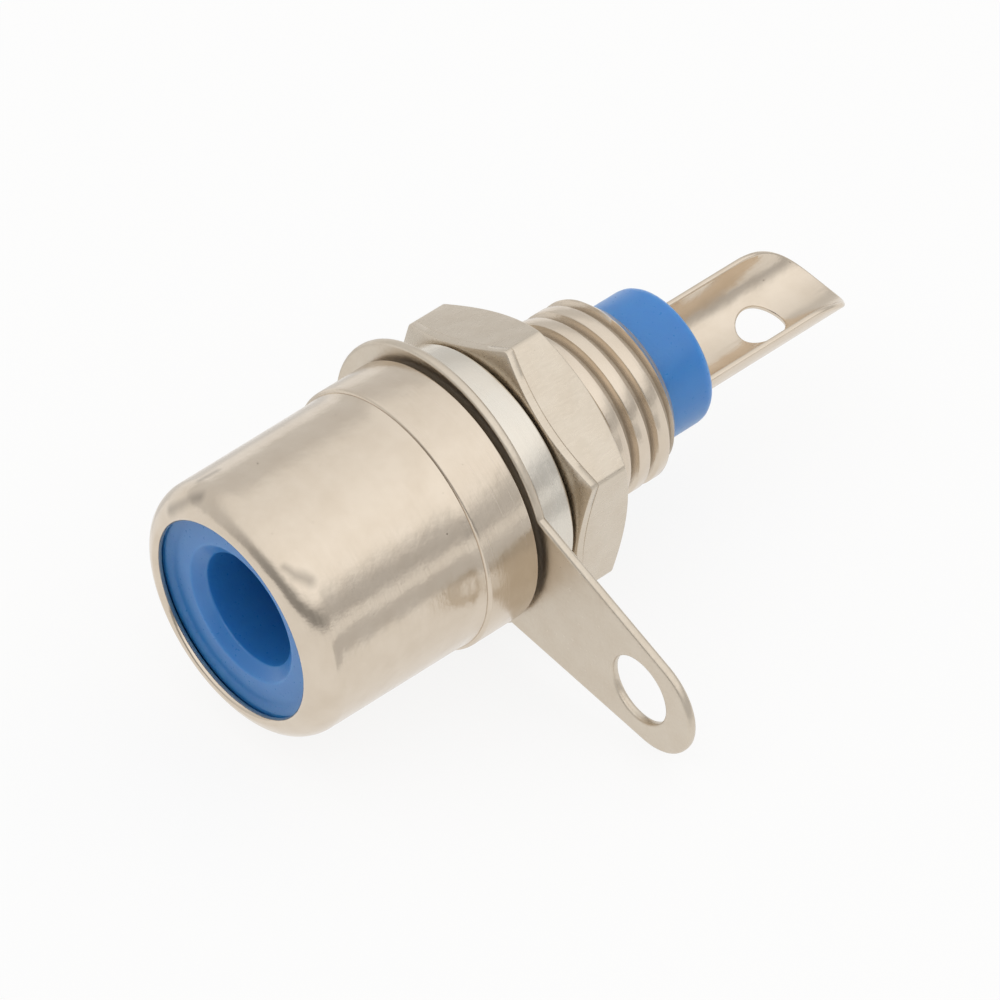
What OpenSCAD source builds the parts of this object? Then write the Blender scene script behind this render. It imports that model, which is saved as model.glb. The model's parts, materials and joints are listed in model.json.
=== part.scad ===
// Panel-mount phono (RCA) socket: a nickel-plated shell with a blue insulator,
// fixed by a nut, a thick washer and a solder lug on a threaded shank.
// Millimetres. The axis is Y: the plug enters at -Y, the solder tail is at +Y.
// The panel seats on the band's rear face, at y = 0.

/* [Shell] */
// Outside diameter at the seam
shell_d = 8.12; // [8:0.02:8.3]
// How much narrower the shell is where the lip starts
shell_taper = 0.06; // [0.04:0.02:0.2]
// Length from the seam to the foremost edge of the lip
shell_length = 6.1; // [5.6:0.1:6.8]
// Thickness of the drawn metal
shell_wall = 0.3; // [0.25:0.05:0.35]
// Outside radius of the curled-in lip
lip_radius = 1; // [0.9:0.05:1.1]
// Diameter of the opening in the lip
opening_d = 6.3; // [6.1:0.05:6.5]

/* [Body] */
// Step from the shell out to the band, on the radius
band_step = 0.14; // [0.08:0.02:0.2]
// Length of the band between the seam and the panel
band_length = 1.85; // [1.6:0.05:2.4]
// Rounding of the band's rear edge
band_round = 0.06; // [0.04:0.01:0.15]
// Outside diameter of the thread, a fine 6 mm one
thread_d = 5.84; // [5.8:0.02:6]
// Distance from one turn of the thread to the next
thread_pitch = 0.75; // [0.5:0.05:1]
// Depth of the thread
thread_depth = 0.26; // [0.2:0.02:0.36]
// Width of the level crest between two grooves
thread_crest = 0.4; // [0.3:0.02:0.5]
// Width of the level root of a groove
thread_root = 0.12; // [0.08:0.02:0.2]
// Length of the sleeve that the shell is pressed onto
spigot_length = 1.6; // [1.2:0.1:2.2]
// Wall of that sleeve
spigot_wall = 0.45; // [0.35:0.05:0.6]
// Depth of the insulator's seat behind the seam
seat_depth = 0.7; // [0.4:0.1:1]
// Length of the threaded shank behind the panel seat
shank_length = 6.75; // [6:0.25:8]
// Chamfer at the end of the thread
thread_chamfer = 0.4; // [0.3:0.05:0.5]

/* [Insulator] */
// Diameter of the collar behind the thread
collar_d = 4.46; // [4.3:0.02:4.6]
// How far the collar stands out of the thread
collar_length = 1.9; // [1.5:0.1:2.4]
// Chamfer on the collar's rear edge
collar_chamfer = 0.25; // [0.15:0.05:0.3]
// Diameter of the hole for the plug's pin
bore_d = 3.6; // [3.5:0.02:3.64]
// Length of the hole's front stretch, which guides the pin
guide_length = 2.95; // [2.5:0.05:3.4]
// Diameter of the pocket behind it, in which the contact's springs open
pocket_d = 4.6; // [4.2:0.1:5.2]
// Wall between that pocket and the shoulder behind it
pocket_wall = 0.7; // [0.5:0.05:1]
// How much wider than the guide the hole is behind the pocket, on the radius
chamber_step = 0.05; // [0.04:0.01:0.08]
// Length of the narrower hole at the rear, for the solder tail
tail_hole_length = 1.3; // [1:0.1:1.6]
// Diameter of the countersink at the front face
countersink_d = 4.4; // [4.2:0.05:4.8]
// Depth of the countersink
countersink_depth = 0.3; // [0.2:0.05:0.4]
// How far the front face lies behind the lip's foremost edge
face_recess = 0.5; // [0.45:0.05:0.7]
// How far the edge of the front face reaches behind the lip
face_cover = 0.33; // [0.2:0.01:0.33]

/* [Contact] */
// Thickness of the rolled sheet
sheet_wall = 0.27; // [0.2:0.01:0.3]
// Distance of the spring tube's mouth behind the guide
tube_recess = 0.4; // [0.2:0.05:0.8]
// Width of the slots that divide the tube into springs
slot_width = 0.4; // [0.3:0.05:0.6]
// Length of those slots
slot_length = 4; // [3:0.25:5]
// Length of the solid neck between the tube and the tail
neck_length = 0.6; // [0.55:0.05:0.9]
// Outside diameter of the half-round solder trough
tail_d = 3.24; // [3:0.02:3.4]
// Thickness of the trough, which is pressed thinner than the tube
tail_wall = 0.18; // [0.15:0.01:0.25]
// Length of the trough's bottom behind the collar
tail_length = 6.65; // [5.8:0.05:7.4]
// How much smaller than the trough its round end is, on the radius
tail_end_inset = 0.02; // [0.02:0.01:0.1]
// How far the trough's rims lie below the axis
tail_rim_drop = 0.12; // [0.05:0.01:0.3]
// How far the trough is rolled about the axis, up from +X
tail_roll = -7; // [-15:1:15]
// Diameter of the hole in the trough's bottom
tail_eye_d = 1.48; // [1.2:0.02:1.7]
// Distance of that hole behind the collar
tail_eye_at = 3.95; // [3.4:0.05:4.4]

/* [Lug] */
// Diameter of the lug's ring
lug_ring_d = 9.1; // [8.8:0.05:9.3]
// Thickness of the lug
lug_thick = 0.3; // [0.25:0.05:0.4]
// How far the ring lies off the axis, away from its tab
lug_shift = 0.3; // [0.2:0.02:0.34]
// How far the lug lies to one side of the axis, loose as it is
lug_side = 0.16; // [0:0.02:0.2]
// Distance from the axis to the centre of the tab's round end
tab_reach = 8.8; // [8:0.1:10]
// Radius of the tab's round end
tab_end_r = 1.75; // [1.6:0.05:2.1]
// Angle by which each edge of the tab closes in
tab_taper = 8; // [5:0.5:10]
// Distance of the wire hole from the centre of the round end, towards the axis
tab_eye_inset = 0.4; // [0.2:0.05:0.5]
// Diameter of the wire hole in the tab
tab_eye_d = 2.2; // [1.8:0.1:2.3]
// Direction of the tab, up from +X
tab_roll = -17; // [-30:1:0]

/* [Washer] */
// Outside diameter
washer_d = 7.84; // [7.6:0.04:8]
// Thickness
washer_thick = 1; // [0.8:0.02:1.2]

/* [Nut] */
// Width across flats
nut_flats = 7.9; // [7.8:0.02:8.1]
// Thickness
nut_thick = 1.95; // [1.8:0.05:2.2]
// How far the circle of the bevel lies inside the flats, at each face
bevel_inset = 0.08; // [0.04:0.02:0.2]
// Slope of the bevel
bevel_angle = 26.5; // [20:0.5:32]
// Direction of one corner, up from +X
nut_roll = 19.3; // [0:0.5:60]

/* [Play] */
// Gap left for a panel, between the band and the lug
panel_gap = 0.2; // [0.15:0.05:0.6]
// Gap between the lug, the washer and the nut
stack_gap = 0.1; // [0.06:0.02:0.14]
// Gap round each piece that sits inside another
fit_gap = 0.03; // [0.02:0.005:0.04]
// Gap in front of each shoulder inside the socket
seat_gap = 0.06; // [0.04:0.01:0.1]
// Gap round the thread in the lug and the washer
loose_gap = 0.09; // [0.06:0.01:0.14]

/* [Hidden] */
$fn = 96;
// How far joined shapes run into each other, and how far a cut runs past its piece
weld = 0.1;
past = 1;
// Curves that would only just touch are kept this far apart
meet_gap = 0.004;
// Shell: radii at the seam and at the lip, where the lip's arc is centred, and where
// it ends in a rounded rim
shell_r = shell_d / 2;
lip_start_r = shell_r - shell_taper / 2;
seam_y = -band_length;
front_y = seam_y - shell_length;
lip_y = front_y + lip_radius;
lip_r = lip_start_r - lip_radius;
lip_mid_r = lip_radius - shell_wall / 2;
rim_r = opening_d / 2 + shell_wall / 2;
rim_turn = acos((rim_r - lip_r) / lip_mid_r);
rim_y = lip_y - lip_mid_r * sin(rim_turn);
// Body: band, spigot inside the shell, and the bores
band_r = shell_r + band_step;
band_core_r = band_r - band_round;
spigot_y = seam_y - spigot_length;
spigot_narrowing = shell_taper / 2 * spigot_length / (shell_length - lip_radius);
spigot_r = shell_r - shell_wall - spigot_narrowing - fit_gap;
spigot_bore_r = spigot_r - spigot_wall;
floor_y = seam_y + seat_depth;
thread_r = thread_d / 2;
thread_end_y = shank_length - thread_chamfer;
thread_count = floor(thread_end_y / thread_pitch);
stem_r = collar_d / 2;
shank_bore_r = stem_r + fit_gap;
// Insulator: plug in the shell, waist in the spigot, stem through the shank
plug_r = lip_start_r - shell_wall - fit_gap;
plug_edge_r = opening_d / 2 + face_cover;
plug_end_y = spigot_y - seat_gap;
face_y = front_y + face_recess;
waist_r = spigot_bore_r - fit_gap;
waist_end_y = floor_y - seat_gap;
collar_y = shank_length + collar_length;
bore_r = bore_d / 2;
guide_y = face_y + countersink_depth;
guide_end_y = guide_y + guide_length;
pocket_r = pocket_d / 2;
pocket_end_y = waist_end_y - pocket_wall;
chamber_r = bore_r + chamber_step;
wall_y = collar_y - tail_hole_length;
// Contact: spring tube in the chamber, and the half-round trough behind it
tube_r = chamber_r - fit_gap;
tube_bore_r = tube_r - sheet_wall;
tube_y = guide_end_y + tube_recess;
tube_end_y = wall_y - seat_gap;
tail_r = tail_d / 2;
tail_hole_r = tail_r + fit_gap;
tail_end_y = collar_y + tail_length;
tail_end_r = tail_r - tail_end_inset;
tail_end_at = tail_end_y - tail_end_r;
// Stack on the shank
lug_y = panel_gap;
washer_y = lug_y + lug_thick + stack_gap;
nut_y = washer_y + washer_thick + stack_gap;
lug_hole_r = thread_r + norm([lug_shift, lug_side]) + loose_gap;
washer_hole_r = thread_r + loose_gap;
nut_hole_r = thread_r + fit_gap;
nut_corner_r = nut_flats / sqrt(3);
nut_face_r = nut_flats / 2 - bevel_inset;
nut_rim_r = nut_corner_r + weld;
nut_bevel = (nut_rim_r - nut_face_r) * tan(bevel_angle);
// Tab: half width at the axis, and where the straight edges meet the round end
tab_root = (tab_end_r + tab_reach * sin(tab_taper)) / cos(tab_taper);
tab_meet_x = tab_reach + tab_end_r * sin(tab_taper);
tab_meet_y = tab_end_r * cos(tab_taper) - meet_gap;

// Turns a profile drawn as radius against y into a ring about the Y axis.
module turned() {
    rotate([-90, 0, 0]) rotate_extrude() children();
}

// A plain cylinder along Y, between two positions.
module rod(r, from, to) {
    translate([0, from, 0]) rotate([-90, 0, 0]) cylinder(r = r, h = to - from);
}

// A flat outline in X and Z, given a thickness along Y.
module plate(from, thick) {
    translate([0, from + thick, 0]) rotate([90, 0, 0]) linear_extrude(height = thick) children();
}

// Turns children from +X towards +Z about the Y axis.
module rolled(angle) {
    rotate([0, -angle, 0]) children();
}

// Drawn shell: tapered wall, then a lip curled in over the insulator to a rounded rim.
module shell() {
    color("Silver") turned() {
        polygon([
            [lip_start_r - shell_wall, lip_y],
            [lip_start_r, lip_y],
            [shell_r, seam_y],
            [shell_r - shell_wall, seam_y]
        ]);
        translate([lip_r, lip_y]) difference() {
            circle(r = lip_radius);
            circle(r = lip_radius - shell_wall);
            translate([-shell_d, 0]) square([2 * shell_d, shell_d]);
            rotate(-rim_turn) translate([-shell_d, -shell_d]) square([2 * shell_d, shell_d]);
        }
        translate([rim_r, rim_y]) circle(r = shell_wall / 2 - meet_gap);
    }
}

// Turned body: spigot in the shell, band against the panel, threaded shank.
module body() {
    color("LightSteelBlue") turned() {
        difference() {
            union() {
                translate([0, spigot_y]) square([spigot_r, spigot_length + weld]);
                translate([0, seam_y]) square([band_core_r, band_length]);
                translate([0, seam_y]) square([band_r, band_length - band_round]);
                translate([band_core_r, -band_round]) circle(r = band_round);
                polygon([
                    [0, -weld],
                    [thread_r, -weld],
                    [thread_r, shank_length - thread_chamfer],
                    [thread_r - thread_chamfer, shank_length],
                    [0, shank_length]
                ]);
            }
            for (turn = [1:thread_count]) {
                translate([thread_r, thread_end_y - (turn - 0.5) * thread_pitch]) groove();
            }
            translate([0, spigot_y - past]) square([spigot_bore_r, floor_y - spigot_y + past]);
            translate([0, spigot_y - past]) square([shank_bore_r, shank_length - spigot_y + 2 * past]);
        }
    }
}

// Section of one groove of the thread, drawn as a ring; its sides run on past the crest.
module groove() {
    side = (thread_pitch - thread_crest - thread_root) / 2;
    polygon([
        [-thread_depth, -thread_root / 2],
        [thread_depth, -thread_root / 2 - 2 * side],
        [thread_depth, thread_root / 2 + 2 * side],
        [-thread_depth, thread_root / 2]
    ]);
}

// Moulded insulator: one piece from the blue front face to the rear collar.
module insulator() {
    color("RoyalBlue") turned() {
        difference() {
            polygon([
                [0, face_y],
                [plug_edge_r, face_y],
                [plug_r, lip_y],
                [plug_r, plug_end_y],
                [waist_r, plug_end_y],
                [waist_r, waist_end_y],
                [stem_r, waist_end_y],
                [stem_r, collar_y - collar_chamfer],
                [stem_r - collar_chamfer, collar_y],
                [0, collar_y]
            ]);
            polygon([
                [0, face_y - past],
                [countersink_d / 2, face_y - past],
                [countersink_d / 2, face_y],
                [bore_r, guide_y],
                [bore_r, guide_end_y],
                [pocket_r, guide_end_y],
                [pocket_r, pocket_end_y],
                [chamber_r, pocket_end_y],
                [chamber_r, wall_y],
                [tail_hole_r, wall_y],
                [tail_hole_r, collar_y + past],
                [0, collar_y + past]
            ]);
        }
    }
}

// Spring contact: slotted tube for the pin, solid neck, and half-round solder trough.
module contact() {
    color("Gold") {
        difference() {
            rod(tube_r, tube_y, tube_end_y);
            rod(tube_bore_r, tube_y - past, tube_end_y - neck_length);
            for (turn = [45, 135]) {
                rotate([0, turn, 0]) translate([-bore_d, tube_y - past, -slot_width / 2])
                    cube([2 * bore_d, slot_length + past, slot_width]);
            }
        }
        rolled(tail_roll) tail();
    }
}

// Solder trough, open upwards: round end, and a hole through its bottom.
module tail() {
    difference() {
        plate(tube_end_y - weld, tail_end_y - tube_end_y + weld) difference() {
            circle(r = tail_r);
            circle(r = tail_r - tail_wall);
            translate([-tail_d, -tail_rim_drop]) square([2 * tail_d, tail_d]);
        }
        translate([0, tail_end_at, -tail_d]) difference() {
            translate([-tail_d, 0, 0]) cube(2 * tail_d);
            cylinder(r = tail_end_r, h = 2 * tail_d);
        }
        translate([0, collar_y + tail_eye_at, -tail_d]) cylinder(d = tail_eye_d, h = tail_d);
    }
}

// Solder lug: a loose ring on the shank with a tapered, drilled tab.
module lug() {
    color("LightGray") rolled(tab_roll) plate(lug_y, lug_thick) translate([0, -lug_side]) difference() {
        union() {
            translate([-lug_shift, 0]) circle(r = lug_ring_d / 2);
            polygon([
                [0, -tab_root],
                [tab_meet_x, -tab_meet_y],
                [tab_meet_x, tab_meet_y],
                [0, tab_root]
            ]);
            translate([tab_reach, 0]) circle(r = tab_end_r);
        }
        translate([-lug_shift, 0]) circle(r = lug_hole_r);
        translate([tab_reach - tab_eye_inset, 0]) circle(d = tab_eye_d);
    }
}

// Thick flat washer between the lug and the nut.
module washer() {
    color("WhiteSmoke") difference() {
        rod(washer_d / 2, washer_y, washer_y + washer_thick);
        rod(washer_hole_r, washer_y - past, washer_y + washer_thick + past);
    }
}

// Hexagon nut, chamfered on both faces.
module nut() {
    color("DarkGray") difference() {
        intersection() {
            rolled(nut_roll) translate([0, nut_y, 0]) rotate([-90, 0, 0])
                cylinder(r = nut_corner_r, h = nut_thick, $fn = 6);
            turned() polygon([
                [0, nut_y],
                [nut_face_r, nut_y],
                [nut_rim_r, nut_y + nut_bevel],
                [nut_rim_r, nut_y + nut_thick - nut_bevel],
                [nut_face_r, nut_y + nut_thick],
                [0, nut_y + nut_thick]
            ]);
        }
        rod(nut_hole_r, nut_y - past, nut_y + nut_thick + past);
    }
}

shell();
body();
insulator();
contact();
lug();
washer();
nut();
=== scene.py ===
"""Panel-mount phono socket: drawn, turned, rolled and stamped nickel-plated pieces round a blue moulding."""

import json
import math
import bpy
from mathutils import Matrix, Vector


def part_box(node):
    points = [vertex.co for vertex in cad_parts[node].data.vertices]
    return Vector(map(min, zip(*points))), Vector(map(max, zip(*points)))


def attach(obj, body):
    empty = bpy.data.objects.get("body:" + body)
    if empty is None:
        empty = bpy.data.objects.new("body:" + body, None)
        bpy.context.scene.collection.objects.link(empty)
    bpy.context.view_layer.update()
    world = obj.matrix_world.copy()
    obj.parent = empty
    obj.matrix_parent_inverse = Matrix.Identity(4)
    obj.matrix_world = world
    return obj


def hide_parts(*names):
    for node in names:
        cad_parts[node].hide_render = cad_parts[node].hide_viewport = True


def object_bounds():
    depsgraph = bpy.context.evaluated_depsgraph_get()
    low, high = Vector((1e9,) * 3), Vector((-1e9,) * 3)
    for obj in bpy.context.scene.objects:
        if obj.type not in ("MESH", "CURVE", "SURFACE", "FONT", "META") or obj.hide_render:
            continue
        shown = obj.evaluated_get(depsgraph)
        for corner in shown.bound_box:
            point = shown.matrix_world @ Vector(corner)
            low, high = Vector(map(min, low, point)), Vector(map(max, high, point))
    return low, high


bl_info = {
    "name": "Phono Socket",
    "version": (1, 0, 0),
    "blender": (4, 5, 0),
    "location": "View3D > Sidebar > Socket",
    "description": "Builds the pieces, the finishes and the studio of a panel-mount phono socket",
    "category": "Object",
}

import bmesh
import bpy
from mathutils import Euler, Vector

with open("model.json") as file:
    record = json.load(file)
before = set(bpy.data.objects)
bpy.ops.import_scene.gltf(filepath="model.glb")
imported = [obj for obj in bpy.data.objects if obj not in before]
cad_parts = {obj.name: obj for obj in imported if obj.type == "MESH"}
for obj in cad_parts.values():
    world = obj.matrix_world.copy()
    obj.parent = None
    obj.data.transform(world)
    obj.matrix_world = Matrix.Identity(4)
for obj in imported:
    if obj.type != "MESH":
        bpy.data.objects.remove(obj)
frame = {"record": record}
CAD_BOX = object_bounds()

MM = 0.001
TURN = 2 * math.pi
ROUND_STEPS = 192  # flat sides that stand for one full circle
MERGE = 0.0002 * MM  # points nearer than this are one point
SHARP = math.radians(42)  # edges that turn by more than this stay sharp
# Outline of the thread: distance from the middle of a crest, in pitches, and share of the depth there
THREAD_FORM = (
    (0.0, 1.0),
    (0.22, 1.0),
    (0.26, 0.96),
    (0.29, 0.84),
    (0.40, 0.12),
    (0.43, 0.0),
    (0.48, 0.0),
)
ROOT_SHADE_SPAN = 0.6  # share of the thread's depth over which the painted shade in its roots fades
SPRINGS = 4  # springs of the contact's tube
MITRE = 0.4  # cosine below which a sheet's corner is cut short when its edge is rounded

CLOUD = 0.8 * MM  # size of the soft clouds in the plate
WAVE = 0.02 * MM  # how deep the clouds wave the plate
SPECK = 0.16 * MM  # grid of the specks, which are about 0.1 mm wide
HOLLOW_SHADE_SHARE = 0.6  # share of painted shade at the bottom of a hollow
DENT_SHADE_SHARE = 0.45  # share of painted shade in the middle of a dent's mark
FLOW = 1.5 * MM  # size of the flow clouds in the moulding
GRAIN = 0.1 * MM  # size of the eroded mould's grain, drawn this coarse so that it shows
GRAIN_DEPTH = 0.004 * MM  # depth of that grain
# Places of a Mix node's colour sockets, which share their names with its other sockets
MIX_A = 6
MIX_B = 7
MIX_RESULT = 2

# Painted shade of small dents in the plate, as dark marks along lines, in millimetres: from, to, half width
SHELL_DENT_SHADES = (
    ((2.22, -7.44, 3.20), (2.56, -7.32, 3.02), 0.24),
    ((2.56, -7.32, 3.02), (2.84, -7.08, 2.86), 0.32),
    ((-2.32, -7.81, 2.67), (-1.25, -7.52, 3.64), 0.32),
    ((-1.86, -7.02, 3.57), (-1.80, -6.50, 3.61), 0.24),
)

# The tent, by the parts of a unit direction
TENT_SIDE = -0.75  # share of X added to Y; the sum is lowest towards the front right
TENT_FRONT = (-1.1, -0.25)  # where the wall is dim at the front right, and where it is plain
TENT_LEAN = 0.14  # how much lower the wall's upper edge lies on the right
TENT_EDGE = (0.36, 0.66)  # where the wall ends, and where the top starts
TENT_SPAN = (-0.5, 0.54)  # where the top has its left brightness, and its right one
CARD_ARCS = ((-45, 28), (152, 225))  # directions that the grey cards cover, in degrees up from +X


def linear(code):
    """Linear colour of an sRGB hex value."""
    parts = [int(code[k : k + 2], 16) / 255 for k in (1, 3, 5)]
    return tuple(p / 12.92 if p <= 0.04045 else ((p + 0.055) / 1.055) ** 2.4 for p in parts)


def length(name, description, millimetres):
    """Length property with its default in millimetres."""
    return bpy.props.FloatProperty(
        name=name, description=description, default=millimetres * MM, unit="LENGTH", precision=5
    )


def angle(name, description, degrees):
    """Angle property with its default in degrees."""
    return bpy.props.FloatProperty(
        name=name, description=description, default=math.radians(degrees), subtype="ANGLE"
    )


def colour(name, description, code):
    """Colour property with its default as an sRGB hex value."""
    return bpy.props.FloatVectorProperty(
        name=name, description=description, default=linear(code), subtype="COLOR", min=0, max=1
    )


def share(name, description, default):
    """Plain number property from 0 upwards."""
    return bpy.props.FloatProperty(name=name, description=description, default=default, min=0)


class SocketSizes(bpy.types.PropertyGroup):
    """Sizes of the pieces; places along the axis come from the frame's boxes"""

    edge: length("Edge", "Rounding of a broken metal edge", 0.05)
    shell_r: length("Shell radius", "Outside radius at the seam", 4.06)
    shell_taper: length("Shell taper", "How much smaller the radius is where the lip starts", 0.03)
    shell_wall: length("Shell wall", "Thickness of the drawn metal", 0.3)
    barrel: length("Barrel", "Length from the seam to the start of the lip", 5.1)
    flare: length("Flare", "How far the shell's rear edge is pressed out", 0.04)
    flare_length: length("Flare length", "Length over which that edge is pressed out", 0.28)
    flare_round: length("Flare rounding", "Rounding where the flare leaves the barrel", 0.16)
    lip: length("Lip", "Outside radius of the curled lip", 1.0)
    opening_r: length("Opening radius", "Radius of the opening in the lip", 3.15)

    band_r: length("Band radius", "Radius of the band behind the seam", 4.2)
    band_front: length("Band front edge", "Rounding of the band's edge at the seam", 0.12)
    band_edge: length("Band rear edge", "Rounding of the band's rear edge", 0.06)
    spigot_r: length("Spigot radius", "Outside radius of the sleeve in the shell", 3.72)
    spigot_bore: length("Spigot bore", "Inside radius of that sleeve", 3.27)
    seat: length("Insulator seat", "Depth of the seat behind the seam", 0.7)
    shank_bore: length("Shank bore", "Inside radius of the shank", 2.26)
    thread_r: length("Thread radius", "Outside radius of the thread", 2.92)
    thread_depth: length("Thread depth", "Depth of the thread on the radius", 0.26)
    pitch: length("Pitch", "Advance of the right-hand thread in one turn", 0.75)
    thread_start: length("Thread start", "Place of a crest on the +X side, behind the panel seat", 0.0)
    chamfer: length("Thread chamfer", "Chamfer at the end of the thread", 0.4)
    thread_gap: length("Thread gap", "Play between the nut's thread and the shank's", 0.03)

    bead_r: length("Bead radius", "Radius of the front face's raised edge behind the lip", 3.3)
    bead: length("Bead width", "Width of that raised edge", 0.35)
    lip_gap: length("Lip gap", "Gap between the insulator and the inside of the lip", 0.03)
    plug_r: length("Plug radius", "Radius of the insulator in the shell", 3.7)
    plug_end: length("Plug length", "Distance from the seam to the rear of that plug", 1.66)
    waist_r: length("Waist radius", "Radius of the insulator in the spigot", 3.24)
    waist_end: length("Waist end", "Distance of the waist's rear behind the seam", 0.64)
    stem_r: length("Stem radius", "Radius of the stem through the shank", 2.23)
    collar_edge: length("Collar edge", "Rounding of the collar's rear edge", 0.34)
    sink_r: length("Countersink radius", "Radius of the countersink at the front face", 2.2)
    sink: length("Countersink depth", "Depth of the countersink", 0.3)
    bore_r: length("Bore radius", "Radius of the pin hole", 1.8)
    guide: length("Guide length", "Length of the pin hole behind the countersink", 2.95)
    pocket_r: length("Pocket radius", "Radius of the pocket for the springs", 2.3)
    pocket_wall: length("Pocket wall", "Wall between that pocket and the waist's rear", 0.7)
    chamber_r: length("Chamber radius", "Radius of the hole round the spring tube", 1.85)
    tail_hole_r: length("Tail hole radius", "Radius of the hole at the collar", 1.65)
    tail_hole: length("Tail hole length", "Length of the hole at the collar", 1.3)

    tube_r: length("Tube radius", "Outside radius of the spring tube", 1.82)
    metal: length("Contact metal", "Thickness of the rolled sheet", 0.27)
    metal_edge: length("Contact edge", "Rounding of the rolled sheet's edges", 0.06)
    slot: length("Slot width", "Width of the slots between the springs", 0.4)
    slot_turn: angle("Slot turn", "Direction of the first slot, up from +X", 45)
    slot_end: length("Slot length", "Length of the slots between the springs", 4.0)
    tube_seam: length("Tube seam", "Half the gap where the rolled tube's edges meet", 0.01)
    neck: length("Neck", "Length of the solid neck behind the tube", 0.6)
    neck_gap: length("Neck gap", "Gap between the neck and the wall behind it", 0.06)
    tail_r: length("Trough radius", "Outside radius of the half-round solder trough", 1.62)
    tail_metal: length("Trough metal", "Thickness of the trough", 0.18)
    tail_rim: length("Trough rim", "How far the trough's rims lie below the axis", 0.12)
    tail_end: length("Trough end", "Length of the trough's round end", 2.3)
    tail_roll: angle("Trough roll", "How far the trough is rolled, up from +X", -7)
    tail_eye_r: length("Trough hole", "Radius of the wire hole in the trough's bottom", 0.74)
    tail_eye: length("Trough hole place", "Distance of that hole behind the collar", 3.95)

    ring_r: length("Lug ring", "Outside radius of the lug's ring", 4.55)
    ring_hole: length("Lug ring hole", "Radius of the hole in the ring", 3.35)
    ring_shift: length("Lug shift", "How far the ring lies off the axis, away from the tab", 0.3)
    lug_side: length("Lug side", "How far the lug lies to one side of the axis", 0.16)
    lug_edge: length("Lug edge", "Rounding of the lug's edges", 0.11)
    tab_reach: length("Tab reach", "Distance from the axis to the centre of the tab's end", 8.8)
    tab_r: length("Tab end", "Radius of the tab's round end", 1.75)
    tab_taper: angle("Tab taper", "Angle by which each edge of the tab closes in", 8)
    tab_roll: angle("Tab roll", "Direction of the tab, up from +X", -17)
    tab_eye: length("Wire hole", "Radius of the wire hole in the tab", 1.1)
    tab_eye_inset: length("Wire hole inset", "Distance of the hole from the centre of the round end", 0.4)

    washer_r: length("Washer radius", "Outside radius of the washer", 3.92)
    washer_hole: length("Washer hole", "Radius of the washer's hole", 3.01)
    washer_edge: length("Washer edge", "Rounding of the washer's outside edges", 0.08)
    nut_flats: length("Nut flats", "Half the width across flats", 3.95)
    nut_corner: length("Nut corner", "Rounding of the nut's six corners", 0.2)
    nut_edge: length("Nut edge", "Rounding between the nut's flats and bevels", 0.03)
    nut_face: length("Nut face", "Radius of the flat ring on each face", 3.87)
    nut_line: length("Nut line", "Distance of the burnished line behind the front bevel", 0.24)
    nut_line_depth: length("Nut line depth", "Depth of that line", 0.015)
    nut_bevel: angle("Nut bevel", "Slope of the bevel on each face", 26.5)
    nut_roll: angle("Nut roll", "Direction of one corner, up from +X", 19.3)


class SocketColours(bpy.types.PropertyGroup):
    """Colours of the finishes"""

    nickel: colour("Nickel", "Bright nickel plate", "#d9ccbb")
    nickel_shade: colour("Nickel shade", "Thinner or tarnished nickel plate", "#bfae98")
    satin: colour("Satin nickel", "Nickel plate on the nut and the lug", "#d3c8b8")
    washer: colour("Washer nickel", "Whiter plate of the washer", "#dcd6cb")
    # painted shade that darkens hollows, such as the thread's roots and the lug's ring behind the band
    hollow_shade_colour: colour("Tarnish", "Dull brown plate in hollows", "#85755f")
    # painted shade of small dents on the shell's lip
    dent_shade_colour: colour("Scuff", "Dark, rubbed plate in scuffs and dents", "#5c574f")
    pit: colour("Pit", "Pits with tarnish in them", "#5a4a3a")
    blue: colour("Blue", "Moulded insulator", "#3686cb")
    blue_shade: colour("Blue shade", "Denser parts of the moulding", "#2b79bd")
    floor: colour("Floor", "White paper under the socket", "#f1f0ee")


class SocketStage(bpy.types.PropertyGroup):
    """Camera, floor and light"""

    lens: bpy.props.FloatProperty(
        name="Lens", description="Focal length on a 36 mm sensor", default=252, unit="CAMERA"
    )
    camera_place: bpy.props.FloatVectorProperty(
        name="Camera place",
        description="Where the camera stands",
        default=(117.639 * MM, -93.594 * MM, 131.029 * MM),
        subtype="TRANSLATION",
        unit="LENGTH",
    )
    camera_turn: bpy.props.FloatVectorProperty(
        name="Camera turn",
        description="How the camera is turned",
        default=[math.radians(a) for a in (48.7604, 2.7528, 48.4439)],
        subtype="EULER",
    )
    clip_start: length("Clip start", "Nearest distance that the camera sees", 1)
    clip_end: length("Clip end", "Farthest distance that the camera sees", 10000)
    sky_left: share("Sky left", "Brightness of the white tent's top on the left", 1.0)
    sky_right: share("Sky right", "Brightness of the white tent's top on the right", 1.23)
    wall_left: share("Wall left", "Brightness of the tent's wall on the left", 0.77)
    wall_right: share("Wall right", "Brightness of the tent's wall on the right", 0.57)
    wall_front: share("Wall front", "Share of the wall's brightness that is left at the front right", 0.52)
    card_right: share("Card right", "Brightness of the grey card on the right", 0.66)
    floor_r: length("Floor radius", "Distance at which the white paper curves up", 500)
    floor_rim: length("Floor rim", "Height of the paper's rim", 40)
    floor_glow: share("Floor glow", "Share of the paper that glows white; the rest takes the shadow", 0.85)
    card_r: length("Card radius", "Distance of the low grey cards beside the socket", 15.5)


def eased(corners, steps=4):
    """Outline with rounded corners; each corner is (radius, y, rounding)."""
    outline = []
    for k, (x, y, rounding) in enumerate(corners):
        here = Vector((x, y))
        if rounding <= 0:
            outline.append(here)
            continue
        before = (Vector(corners[k - 1][:2]) - here).normalized() * rounding
        after = (Vector(corners[(k + 1) % len(corners)][:2]) - here).normalized() * rounding
        for step in range(steps + 1):
            along = step / steps
            outline.append(here + before * (1 - along) ** 2 + after * along**2)
    return outline


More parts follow.
